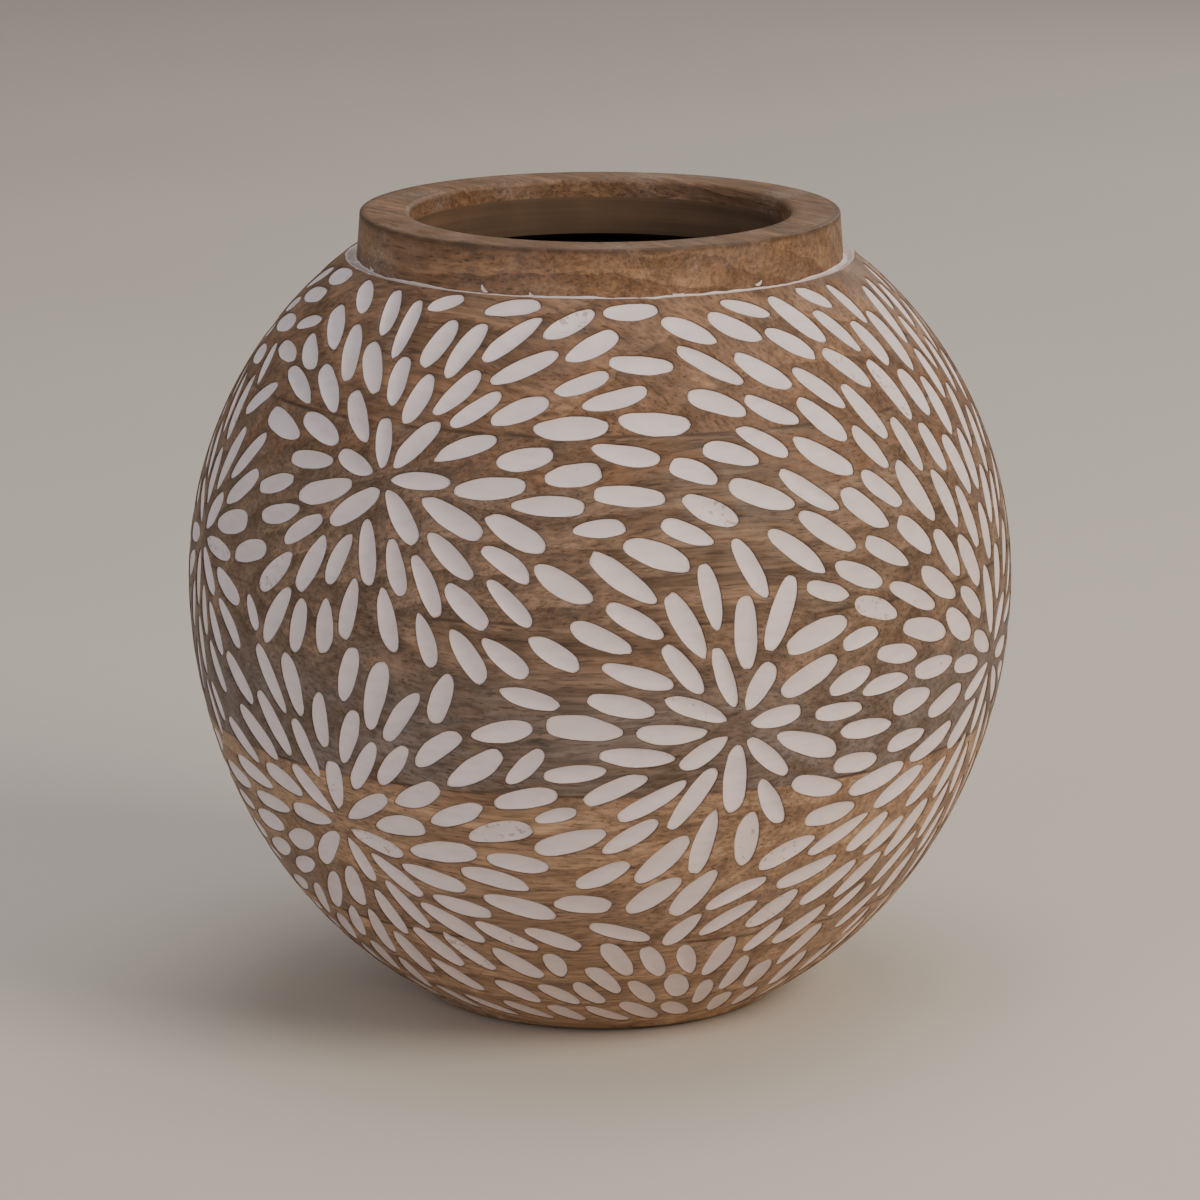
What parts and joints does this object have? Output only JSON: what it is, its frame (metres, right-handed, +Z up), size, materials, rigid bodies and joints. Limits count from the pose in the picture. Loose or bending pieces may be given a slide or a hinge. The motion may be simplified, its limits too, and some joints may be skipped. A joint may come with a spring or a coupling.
{
  "type": "flower vase",
  "caption": "Round turned wooden flower vase with a short thick neck ring, glued from stacked boards and hollowed to hold stems; stands on a felt-covered base.",
  "frame": {"origin": "centre of the underside, on the plane that the vase stands on", "axes": "+Z up along the turning axis, out of the mouth; X and Y are in the plane it stands on"},
  "size_m": [0.225, 0.225, 0.217],
  "materials": {
    "neck_wood": "turned mango wood, reddish brown, satin",
    "shoulder_wood": "turned mango wood, reddish brown, satin",
    "upper_wood": "turned mango wood, mid brown, satin",
    "middle_wood": "turned mango wood, grey brown with dark streaks, satin",
    "lower_wood": "turned mango wood, tan, satin",
    "base_wood": "turned mango wood, tan brown, satin",
    "petal_paint": "matt off-white paint left in the carved petals and the groove",
    "felt": "dark wool felt"
  },
  "bodies": {
    "root": {"neck_ring": "neck_wood", "shoulder_board": "shoulder_wood", "upper_board": "upper_wood", "middle_board": "middle_wood", "lower_board": "lower_wood", "base_board": "base_wood", "felt_disc": "felt"}
  },
  "joints": []
}
